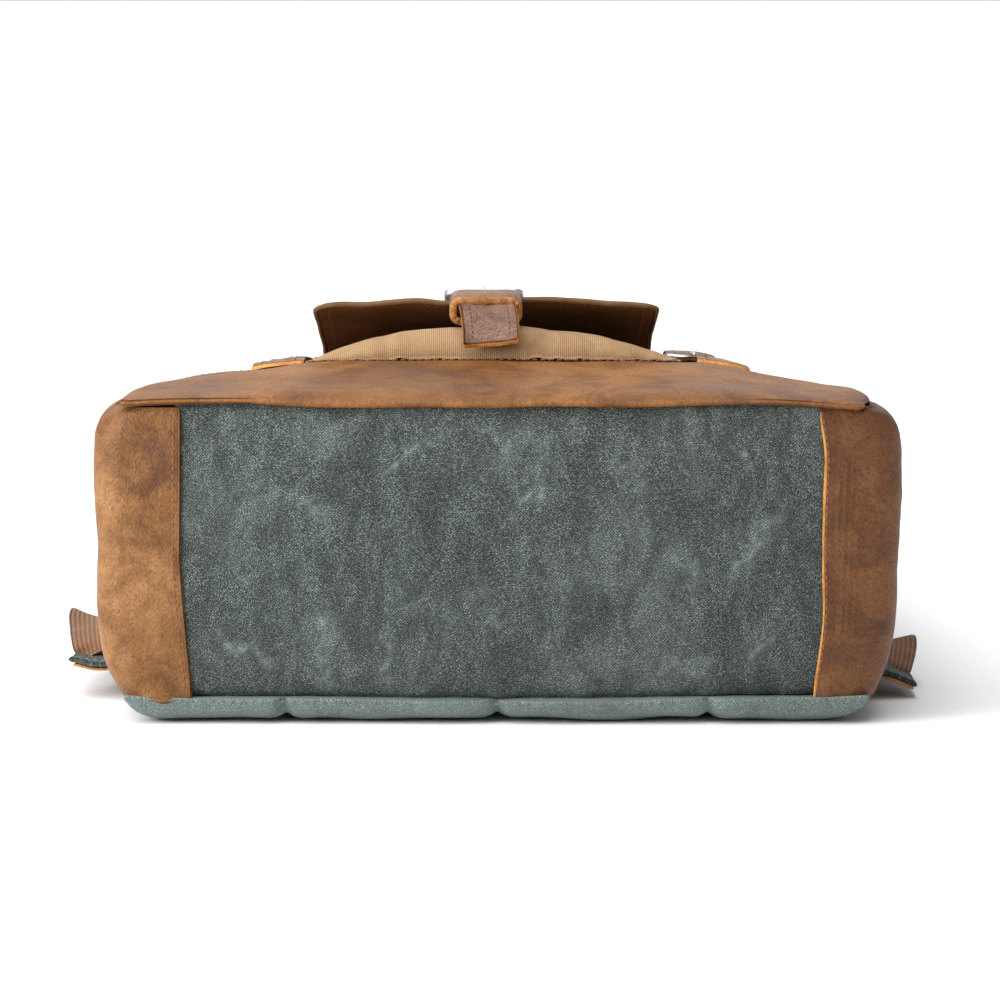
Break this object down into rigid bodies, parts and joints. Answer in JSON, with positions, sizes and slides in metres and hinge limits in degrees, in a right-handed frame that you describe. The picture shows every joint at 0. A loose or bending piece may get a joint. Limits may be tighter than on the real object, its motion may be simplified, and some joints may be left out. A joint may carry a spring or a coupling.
{
  "type": "backpack",
  "caption": "Waxed-canvas backpack with leather base and corners, a flapped front pocket, a strap-down lid and padded shoulder straps, lying on its back.",
  "frame": {"origin": "middle of the underside of the box round the bag as it lies on its back, with the handle and strap tabs in that box", "axes": "+X across the bag to the right of its front, +Y from its bottom end to its mouth, +Z from its back to its front"},
  "size_m": [0.3776, 0.4396, 0.1752],
  "materials": {
    "green_canvas": "waxed plain-weave canvas, mottled",
    "quilted_canvas": "waxed canvas quilted over padding",
    "khaki_canvas": "ribbed waxed canvas",
    "flap_lining_cloth": "dark brown cloth",
    "brown_leather": "oiled pull-up leather, satin",
    "cotton_lining": "plain cotton",
    "tan_webbing": "ribbed cotton webbing",
    "silver_metal": "polished, slightly worn",
    "stiff_board": "plain board"
  },
  "bodies": {
    "bag": {"back_panel": "quilted_canvas", "bottom_panel": "green_canvas", "bottom_board": "stiff_board", "base_band": "brown_leather", "front_panel": "green_canvas", "mouth_binding": "brown_leather", "lining": "cotton_lining", "sleeve_panel": "cotton_lining", "front_pocket": "khaki_canvas", "flap_snap": "silver_metal", "yoke": "brown_leather", "left_corner_patch": "brown_leather", "left_side_panel": "green_canvas", "left_chape": "brown_leather", "left_lid_snap": "silver_metal", "left_chape_rivet": "silver_metal", "left_webbing": "tan_webbing", "left_strap_tab": "green_canvas", "left_tab_backing": "brown_leather", "right_corner_patch": "brown_leather", "right_side_panel": "green_canvas", "right_chape": "brown_leather", "right_lid_snap": "silver_metal", "right_chape_rivet": "silver_metal", "right_webbing": "tan_webbing", "right_strap_tab": "green_canvas", "right_tab_backing": "brown_leather"},
    "lid": {"lid": "green_canvas", "left_lid_strap": "brown_leather", "left_lid_buckle": "silver_metal", "right_lid_strap": "brown_leather", "right_lid_buckle": "silver_metal"},
    "left_lid_prong": {"left_lid_prong": "silver_metal"},
    "right_lid_prong": {"right_lid_prong": "silver_metal"},
    "pocket_flap": {"pocket_flap": "khaki_canvas", "pocket_flap_lining": "flap_lining_cloth", "flap_strap": "brown_leather", "flap_keeper": "brown_leather", "flap_buckle": "silver_metal"},
    "flap_prong": {"flap_prong": "silver_metal"},
    "carry_handle": {"carry_handle": "brown_leather"},
    "left_shoulder_strap": {"left_shoulder_pad": "quilted_canvas", "left_adjuster": "silver_metal"},
    "right_shoulder_strap": {"right_shoulder_pad": "quilted_canvas", "right_adjuster": "silver_metal"}
  },
  "joints": [
    {"name": "lid_hinge", "type": "hinge", "parent": "bag", "child": "lid", "pos_m": [0, 0.19225, 0.013], "axis": [-1, 0, 0], "range_deg": [0, 95]},
    {"name": "pocket_flap_hinge", "type": "hinge", "parent": "bag", "child": "pocket_flap", "pos_m": [0, 0.01025, 0.12937], "axis": [-1, 0, 0], "range_deg": [0, 130]},
    {"name": "flap_prong_pivot", "type": "hinge", "parent": "pocket_flap", "child": "flap_prong", "pos_m": [-0.005, -0.07175, 0.16786], "axis": [-1, 0, 0], "range_deg": [0, 110]},
    {"name": "left_lid_prong_pivot", "type": "hinge", "parent": "lid", "child": "left_lid_prong", "pos_m": [-0.0975, -0.05575, 0.14065], "axis": [-1, 0, 0], "range_deg": [0, 110]},
    {"name": "right_lid_prong_pivot", "type": "hinge", "parent": "lid", "child": "right_lid_prong", "pos_m": [0.0975, -0.05575, 0.14065], "axis": [-1, 0, 0], "range_deg": [0, 110]},
    {"name": "carry_handle_swing", "type": "hinge", "parent": "bag", "child": "carry_handle", "pos_m": [0, 0.18275, 0.0004], "axis": [-1, 0, 0], "range_deg": [0, 90]},
    {"name": "left_shoulder_strap_swing", "type": "hinge", "parent": "bag", "child": "left_shoulder_strap", "pos_m": [-0.036, 0.13325, 0.0085], "axis": [1, 0, 0], "range_deg": [0, 30]},
    {"name": "right_shoulder_strap_swing", "type": "hinge", "parent": "bag", "child": "right_shoulder_strap", "pos_m": [0.036, 0.13325, 0.0085], "axis": [1, 0, 0], "range_deg": [0, 30]}
  ]
}
